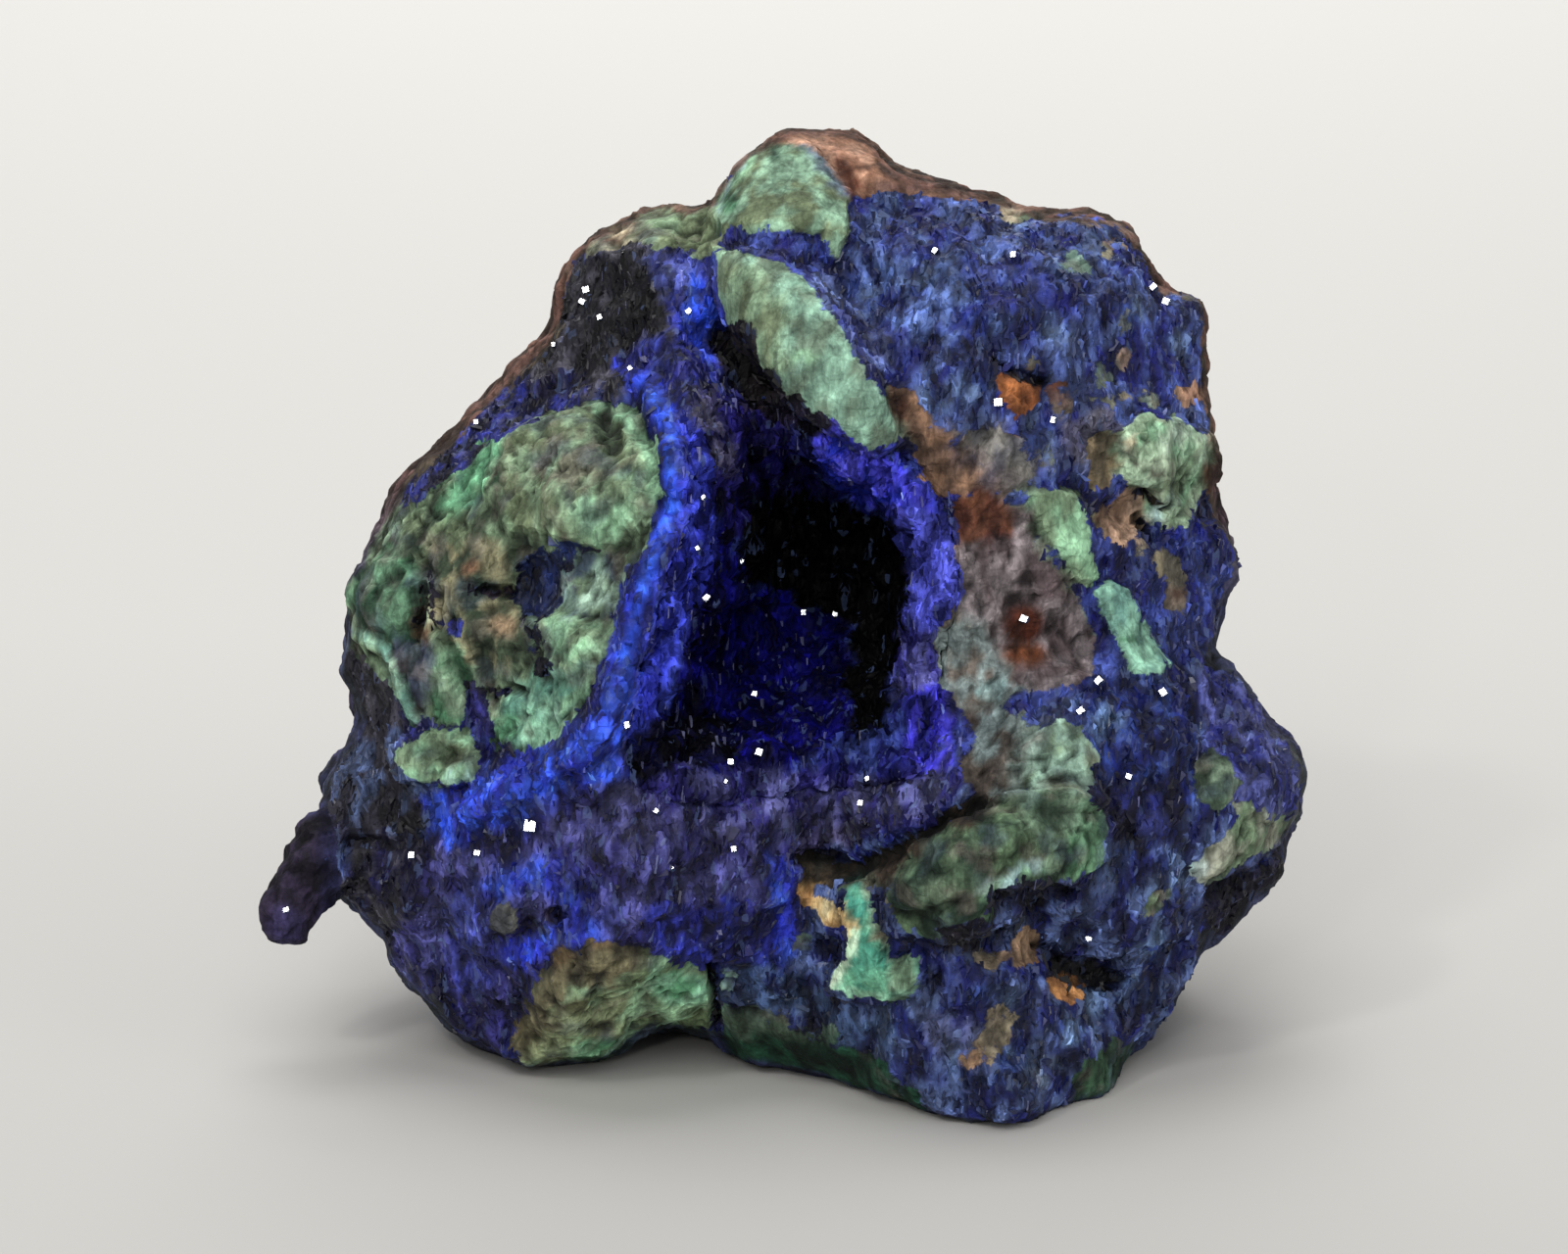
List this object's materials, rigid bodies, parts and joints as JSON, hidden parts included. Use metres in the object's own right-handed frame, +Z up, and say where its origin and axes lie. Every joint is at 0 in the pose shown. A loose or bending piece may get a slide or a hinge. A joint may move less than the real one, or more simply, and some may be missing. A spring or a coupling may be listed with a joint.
{
  "type": "azurite mineral specimen",
  "caption": "Upright lump of grown-together azurite and malachite with a deep hollow lined by azurite crystals, a short hanging arm and a flat base to rest on.",
  "frame": {"origin": "middle of the outer box, at the flat base", "axes": "+Z up from the surface that it rests on; +X along its width, to the right as seen from the front; -Y to the front, where the hollow opens"},
  "size_m": [0.0754, 0.0518, 0.0654],
  "materials": {
    "azurite_rock": "rough crystalline azurite with matt malachite and iron-stained patches",
    "azurite_crystal": "small glossy crystal faces"
  },
  "bodies": {
    "root": {"azurite_mass": "azurite_rock", "vug_crust": "azurite_crystal"}
  },
  "joints": []
}
